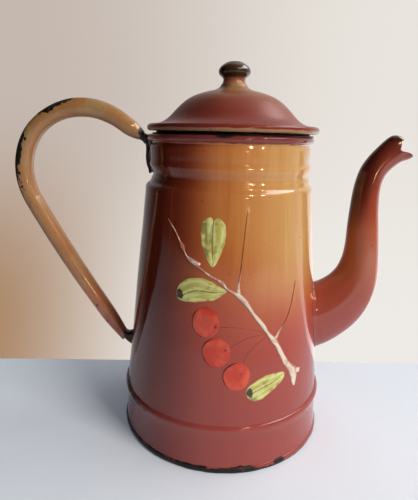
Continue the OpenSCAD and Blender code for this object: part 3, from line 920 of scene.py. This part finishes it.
def make_lid():
    t, k, z = lid_low.z + 4.2, knob_low.z, lid_low.z
    hem = from_corner(
        lid_r, z, (-1, 0.15), (-0.35, 0.7), (0, 1.9), (-0.1, 2.9), (-0.7, 3.75), (-1.8, 4.2),
    )
    dome = from_corner(
        0, t, (51, 0.1), (48.6, 0.35), (46.4, 0.95), (44.2, 1.9), (42.2, 3.2), (39.6, 5.5),
        (36.6, 8.7), (33.4, 11.9), (30, 14.7), (26.2, 17), (22, 18.7), (17.4, 20.1),
    )
    crown = from_corner(
        0, k, (13.6, -2.3), (11, -1.35), (9.4, -0.4), (8.5, 0.6), (8.05, 1.5), (7.85, 1.75),
        (7.7, 1.4), (7.7, 0.1), (5.5, 0), (2.3, 0),
    )
    outer = smooth_path(hem + dome + crown)
    crown = from_corner(
        0, k, (2.3, -0.85), (5.5, -0.85), (8.4, -1), (10.4, -2), (13.2, -3.2),
    )
    dome = from_corner(
        0, t, (17.2, 19.2), (21.7, 17.8), (25.8, 16.15), (29.5, 13.95), (32.8, 11.25),
        (36, 8.05), (39, 4.85), (41.7, 2.4), (44, 0.95), (46.2, 0.05), (48.5, -0.55),
        (51, -0.85), (52, -1.5), (52.2, -2.5),
    )
    under = smooth_path(crown + dome + [(52.4, z + 0.9), (52.8, z + 0.2), (53.2, z)], 0.7)
    tones = [0] * len(outer) + [1] * (len(under) - 2) + [0, 0]
    build = lathe(outer + under, lid_x, tones=tones)
    make_piece("lid_shell", build, [LID, UNDER], ["lid_dome"], "lid")


def make_collar():
    low, high = node_box("lid_collar")
    r = 48.7
    ledge = from_corner(
        r, rim_z, (0, -3), (0, -0.4), (0, -0.4), (0.15, 0.12), (0.6, 0.12), (2, 0.1),
        (2.5, 0.25), (2.6, 0.5), (2.4, 0.8), (1.9, 0.9), (0.6, 0.9), (0.1, 1.3), (0, 2),
    )
    outer = smooth_path(
        from_corner(r, low.z, (-0.5, 0), (-0.1, 0.4), (0, 1.5)) + ledge
        + from_corner(r, high.z, (0, -0.4), (-0.2, -0.1), (-0.5, 0))
    )
    inner = from_corner(r, high.z, (-0.8, -0.1), (-0.95, -0.5)) + [(r - 0.95, rim_z)]
    inner += from_corner(r, low.z, (-0.95, 0.5), (-0.8, 0.1))
    build = lathe(outer + inner, lid_x)
    make_piece("lid_sleeve", build, [IRON], ["lid_collar"], "lid")


def make_knob():
    k, top, r = knob_low.z, knob_high.z, knob_high.x - knob_x
    foot = from_corner(
        0, k, (0, 0), (7, 0), (7.5, 0.2), (7.62, 0.8), (7.6, 1.6), (7.25, 2.8), (6.95, 4),
        (7.2, 5.1),
    )
    cap = from_corner(
        r, k, (-1.95, 6.1), (-0.7, 7.2), (-0.08, 8.6), (-0.25, 10.2), (-1.2, 11.8), (-3, 13.3),
    )
    crown = from_corner(r, top, (-5, -0.35), (-6.8, 0), (-8.4, -0.25), (-r, -0.4))
    path = smooth_path(foot + cap + crown, 0.35)
    make_piece("knob", lathe(path, knob_x), [KNOB], ["lid_knob"], "lid")


# ---- Painted sprig, raised a little from the wall ----


def flat(degrees, z):
    """Place on the wall rolled flat, from an angle off the front and a height."""
    return Vector((radians(degrees) * cone_at(z), z))


def lifted(p, lift):
    """Place on the wall itself, raised by lift, of a place on the flat."""
    a = p.x / cone_at(p.y) - pi / 2
    r = cone_at(p.y) + dented(cos(a), sin(a), p.y) + lift
    return Vector((r * cos(a), r * sin(a), p.y)) * MM


def patch(build, rows, closed=False, blotted=0):
    """Skin over rows of (flat place, lift), thickened by a modifier afterwards."""
    layers = build.verts.layers.float_color
    layer = layers.get("paint") or layers.new("paint")
    made = []
    for i, row in enumerate(rows):
        made.append(add_ring(build, [lifted(p, lift) for p, lift in row]))
        for j, vert in enumerate(made[-1]):
            vert[layer] = (i / (len(rows) - 1), j / max(1, len(row) - 1), blotted, 1)
    for low, high in zip(made, made[1:]):
        join(build, high, low, closed=closed)
    return made


def painted(name, build, material):
    obj = make_piece(name, build, [material])
    mesh = obj.data
    if sum(f.normal.dot(f.center * Vector((1, 1, 0))) for f in mesh.polygons) < 0:
        mesh.flip_normals()
    skin = obj.modifiers.new("thickness", "SOLIDIFY")
    skin.thickness, skin.offset = 0.5 * MM, -1


def leaf(build, spine, sides, wide, notch=0, blotted=0):
    """Leaf along a spine of (degrees, height); each side is (places along it, half widths)."""
    left_side, right_side = (list(zip(*side)) for side in sides)
    line = smooth_path([tuple(flat(*p)) for p in spine], 0.35)
    half, count = 12, len(line) - 1
    rows = []
    for i, p in enumerate(line):
        a = i / count
        across = left_of(line, i)
        along = Vector((across.y, -across.x))
        left, right = between(left_side, a) * wide, between(right_side, a) * wide
        row = []
        for j in range(-half, half + 1):
            c = j / half
            w = right if c < 0 else left
            dip = notch * max(0, 1 - abs(c) * 3) * max(0, a - 0.7) / 0.3
            crown = 0.3 * sqrt(max(0, 1 - c * c)) - 0.14 * max(0, 1 - abs(c) * 7)
            vein = 0.05 * sin(34 * a - 9 * abs(c)) * (1 - c * c)
            lift = -0.12 + (crown + vein) * min(1, 6 * a, 8 * (1 - a) + 0.2)
            row.append((p + across * w * c - along * dip, lift))
        rows.append(row)
    patch(build, rows, blotted=blotted)


def stroke(build, points, widths, lift, knots=0):
    """A painted line through (degrees, height) points."""
    curve = smooth_path([tuple(flat(*p)) for p in points], 0.8)
    rows = []
    for i, p in enumerate(curve):
        u = i / (len(curve) - 1)
        half = between(widths, u) / 2
        half *= 1 + knots * lumps(i * 0.19, points[0][1], 5)
        side = left_of(curve, i)
        taper = min(1, 10 * u + 0.2, 10 * (1 - u) + 0.2)
        row = []
        for j in range(7):
            c = j / 3 - 1
            height = -0.14 + (lift + 0.14) * sqrt(max(0, 1 - c * c)) * taper
            row.append((p + side * half * c, height))
        rows.append(row)
    patch(build, rows)


def disc(build, centre, radii, lift, turn):
    b = flat(*centre)
    rows = []
    for i in range(15):
        rho = max(0.03, i / 14)
        row = []
        for j in range(64):
            a = 2 * pi * j / 64 + turn
            r = rho * (1 + 0.016 * sin(3 * a + 7 * turn) + 0.01 * sin(5 * a))
            height = -0.1 + (lift + 0.1) * sqrt(max(0, 1 - rho**4))
            row.append((b + Vector((cos(a) * radii[0], sin(a) * radii[1])) * r, height))
        rows.append(row)
    made = patch(build, rows, closed=True)
    build.faces.new(made[0])


class Paint(Shader):
    """Brushed paint, with each place's way along, across and whether it is blotted."""

    def __init__(self, name, rough=0.22):
        super().__init__(name, IOR=1.5)
        where = self.add("VertexColor", layer_name="paint").outputs[0]
        self.along, self.across, self.blotted = self.add("SeparateColor", {0: where}).outputs
        self.rough = rough

    def painted(self):
        brush = self.noise(520, 3, 0.6)
        self.bump(brush, 0.35, 0.12)
        return self.finish(self.step(brush, 0.3, 0.7, self.rough - 0.05, self.rough + 0.1))


def leaf_paint():
    s = Paint("leaf_paint")
    brush = s.noise(1, 4, 0.6, s.vector(s.times(s.along, 1.6), s.times(s.across, 5), s.x))
    broad = s.noise(150, 3, 0.5)
    s.colour = s.mix(s.step(brush, 0.34, 0.62), (196, 180, 90), (228, 230, 146))
    s.tint((136, 112, 50), s.step(broad, 0.5, 0.62), s.step(brush, 0.62, 0.44), 0.6)
    rib = s.off_middle(s.across)
    s.tint((100, 80, 34), s.step(rib, 0.05, 0.01), s.step(broad, 0.34, 0.46), 0.7)
    s.tint((122, 98, 42), s.step(s.across, 0.6, 0.9), s.step(broad, 0.44, 0.58), 0.65)
    edge = s.step(s.plus(rib, s.sway(brush, 0.25)), 0.45, 0.53)
    s.tint((120, 96, 40), edge, 0.3)
    a = s.times(s.less(s.along, 0.905), 15)
    b = s.times(s.less(s.across, 0.45), 3.2)
    away = s.plus(s.times(a, a), s.times(b, b), s.sway(brush, 2.4))
    s.tint((34, 26, 18), s.step(away, 1.25, 0.8), s.blotted, 0.92)
    return s.painted()


def branch_paint():
    s = Paint("branch_paint")
    mottle = s.noise(260, 4, 0.6)
    side = s.off_middle(s.across)
    edge = s.plus(side, s.sway(mottle, 0.55))
    s.colour = s.mix(s.step(edge, 0.2, 0.4), (236, 218, 196), (172, 100, 78))
    s.tint((196, 138, 116), s.step(s.noise(150, 2), 0.52, 0.64), 0.45)
    s.tint((180, 108, 84), s.step(s.along, 0.56, 0.34), s.step(mottle, 0.36, 0.54), 0.75)
    return s.painted()


def cherry_paint():
    s = Paint("cherry_paint", 0.16)
    mottle = s.noise(120, 3, 0.5)
    s.colour = s.mix(s.step(mottle, 0.36, 0.66), (206, 58, 36), (228, 90, 60))
    s.tint((176, 42, 40), s.step(s.along, 0.62, 0.3), s.step(mottle, 0.42, 0.6), 0.4)
    west = s.step(s.off_middle(s.across), 0.34, 0.1)
    rim = s.step(s.plus(s.along, s.times(mottle, 0.1)), 0.88, 1.06)
    s.tint((158, 44, 36), rim, 0.4)
    crescent = s.step(s.plus(s.along, s.times(west, 0.16)), 1.01, 1.07)
    s.tint((58, 16, 16), crescent, 0.85)
    return s.painted()


def twig_paint():
    s = Paint("twig_paint")
    mottle = s.noise(300, 3, 0.6)
    s.colour = s.mix(s.step(s.along, 0.08, 0.36), (226, 196, 168), (138, 72, 40))
    s.tint((96, 46, 30), s.step(mottle, 0.45, 0.65), 0.4)
    return s.painted()


def make_sprig():
    branch = bmesh.new()
    stroke(branch, [
        (-38, 151.8), (-31.2, 145), (-25.9, 137.2), (-23.2, 132.9), (-20, 129.2),
        (-15, 126.4), (-8, 121.9), (-1.6, 118.6), (1.9, 114.6), (7, 111.6), (11.2, 107.9),
        (16.6, 99.9), (21.2, 93.7), (25.8, 86.6), (30.4, 80.2), (33.8, 73.4), (37.6, 65.6),
        (42.2, 59.4), (43.6, 49.2),
    ], [(0, 0.6), (0.115, 1), (0.134, 2.8), (0.155, 1), (0.2, 1.2), (0.34, 1.2), (0.363, 2.6),
        (0.385, 1.4), (0.43, 2.4), (0.46, 4), (0.49, 4), (0.52, 3.2), (0.545, 2),
        (0.57, 2.6), (0.6, 3.6), (0.63, 3.6), (0.655, 2.4), (0.69, 3.2), (0.72, 4.6), (0.75, 4.2),
        (0.8, 3.9), (0.84, 4.4), (0.87, 5.4), (0.9, 6.6), (0.925, 8.4), (0.945, 8.2),
        (0.965, 6.4), (0.985, 4.2),
        (1, 2.2)], 0.5, knots=0.2)
    knob, stump = [(0, 2), (0.5, 3.2), (1, 2.4)], [(0, 5), (0.5, 4.8), (1, 3.4)]
    stroke(branch, [(-22, 131.2), (-18.4, 129.3), (-14, 127.7)], knob, 0.52)
    stroke(branch, [(42, 59.4), (45.4, 58.8), (48.6, 58)], stump, 0.47)
    painted("sprig_branch", branch, branch_paint())

    twigs = bmesh.new()
    stroke(twigs, [
        (8, 109.6), (7.6, 116.4), (8.4, 122.6), (9.3, 131.9), (10.4, 144.5), (12.1, 159.7),
    ], [(0, 3.4), (0.08, 2.4), (0.2, 1.1), (0.4, 0.55), (1, 0.35)], 0.3)
    stroke(twigs, [
        (28.9, 81.2), (32.6, 88), (36.8, 92.8), (40.9, 100.7), (43.7, 110.2), (45.6, 117.3),
    ], [(0, 3), (0.18, 1.6), (0.4, 0.7), (1, 0.35)], 0.3)
    painted("sprig_twigs", twigs, twig_paint())

    stems = bmesh.new()
    for points in (
        [(-3.6, 92.5), (7.5, 92.3), (16, 90.6), (25.6, 87.2)],
        [(2.4, 79), (9.9, 84.2), (16.5, 86.6), (25.6, 87)],
        [(11, 69), (12.2, 74), (16, 79.5), (25.6, 86.4)],
    ):
        stroke(stems, points, [(0, 0.4), (1, 0.25)], 0.1)
    disc(stems, (-3.9, 92.4), (0.8, 0.9), 0.56, 0.4)
    disc(stems, (1.9, 78.9), (1.1, 0.75), 0.56, 0.4)
    disc(stems, (10.1, 64.7), (0.8, 0.6), 0.56, 0.4)
    painted("sprig_stems", stems, stem_paint())

    leaves = bmesh.new()
    at = (0, 0.12, 0.3, 0.5, 0.72, 0.86, 0.95, 1)
    leaf(leaves, [(-6.7, 124.9), (-7.4, 133), (-7.9, 143), (-7.4, 155.4)], (
        (at, (0.05, 0.24, 0.6, 0.84, 0.94, 0.86, 0.58, 0.12)),
        (at, (0.05, 0.3, 0.66, 0.98, 1.06, 0.92, 0.66, 0.3)),
    ), 7.9, notch=3.4)
    leaf(leaves, [(3.4, 113.6), (-6, 112.4), (-15, 112.6), (-27.6, 106.6)], (
        ((0, 0.12, 0.3, 0.5, 0.68, 0.82, 0.94, 1),
         (0.03, 0.18, 0.62, 0.86, 0.88, 0.64, 0.34, 0.08)),
        ((0, 0.12, 0.3, 0.5, 0.7, 0.84, 0.95, 1), (0.03, 0.32, 0.82, 1.02, 1, 0.82, 0.46, 0.08)),
    ), 8, blotted=1)
    at = (0, 0.1, 0.3, 0.5, 0.7, 0.85, 0.95, 1)
    leaf(leaves, [(37.4, 61.6), (30.6, 57.6), (22, 54.4), (12.8, 50.8)], (
        (at, (0.08, 0.4, 0.62, 0.84, 1.04, 0.92, 0.56, 0.2)),
        (at, (0.08, 0.34, 0.78, 0.98, 0.9, 0.74, 0.5, 0.2)),
    ), 7.1, blotted=1)
    painted("sprig_leaves", leaves, leaf_paint())

    cherries = bmesh.new()
    disc(cherries, (-9.6, 94.4), (8.5, 9.4), 0.3, 0.35)
    disc(cherries, (-3.2, 77.1), (8.7, 9.2), 0.3, 0.05)
    disc(cherries, (7.9, 62.8), (8.5, 8.9), 0.3, -0.2)
    painted("sprig_cherries", cherries, cherry_paint())


def stem_paint():
    s = Paint("stem_paint")
    s.colour = s.mix(s.noise(400, 3, 0.6), (84, 32, 26), (138, 58, 48))
    return s.painted()


# ---- Insert: the CAD parts keep their shapes ----


def make_insert():
    dresses = {
        "pump_foot": SPUN, "coffee_basket": SPUN, "spreader_plate": SPUN, "basket_sleeve": SPUN,
        "pump_tube": DRAWN, "basket_stop": DRAWN, "pump_valve": DRAWN, "knob_rivet": RIVET,
    }
    for node, material in dresses.items():
        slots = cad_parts[node].data.materials
        slots.clear()
        slots.append(material)


# ---- Stage ----


def make_stage():
    glow = (0.66, 0.78, 1, 1)
    s = Shader("cloth", Roughness=0.9, Emission_Color=glow, Emission_Strength=0.12)
    weave, folds = s.noise(700, 3, 0.6), s.noise(9, 2)
    s.bump(weave, 0.25, 0.25)
    s.bump(folds, 0.5, 3)
    s.feed(s.surface.inputs["Base Color"], s.mix(folds, (238, 243, 249), (245, 249, 253)))
    # The back edge runs aslant, as the table's does in the photo
    corners = [(-1.6, -2.4, 0), (1.6, -2.4, 0), (1.6, 0.1786, 0), (-1.6, -0.0431, 0)]
    mesh = bpy.data.meshes.new("floor")
    mesh.from_pydata(corners, [], [range(4)])
    mesh.materials.append(s.material)
    place("floor", mesh)


def make_world():
    """A soft gradient behind the pot, and the room that the enamel mirrors."""
    world = bpy.data.worlds.new("studio")
    scene.world = world
    world.use_nodes = True
    n = Nodes(world.node_tree)
    x, y, z = n.add("SeparateXYZ", {0: n.add("TexCoord").outputs["Generated"]}).outputs

    def blend(axis, low, high, dark, bright):
        return n.mix(n.step(axis, low, high), dark, bright)

    room = blend(x, -0.4, 0.9, (8, 6, 6), (112, 100, 88))
    wall = blend(x, -0.9, 0.7, (150, 144, 142), (250, 246, 240))
    sunlit = blend(x, 0.1, 0.6, wall, (1.9, 1.85, 1.9, 1))
    wall = blend(z, -0.3, 0.06, sunlit, wall)
    spout_side = blend(y, -0.2, 0.42, room, wall)
    handle_side = blend(y, 0.32, 0.74, room, wall)
    mirrored = blend(x, -0.35, 0.05, handle_side, spout_side)
    soft_room = blend(x, -0.6, 0.9, (6, 5, 5), (70, 65, 60))
    lit = blend(y, -0.3, 0.8, soft_room, (48, 47, 46))
    seen = blend(x, -0.42, 0.34, (197, 184, 175), (233, 228, 221))
    warm = blend(x, -0.52, -0.05, (168, 130, 94), (238, 234, 229))
    seen = blend(z, -0.4, 0.1, warm, seen)
    path = n.add("LightPath").outputs
    colour = n.mix(path["Is Glossy Ray"], lit, mirrored)
    colour = n.mix(path["Is Camera Ray"], colour, seen)
    n.feed(n.tree.nodes["Background"].inputs["Color"], colour)


make_base()
make_foot()
make_wall()
make_spout()
make_handle()
make_top_bracket()
make_bottom_bracket()
make_lid()
make_collar()
make_knob()
make_sprig()
make_insert()
make_stage()
make_world()
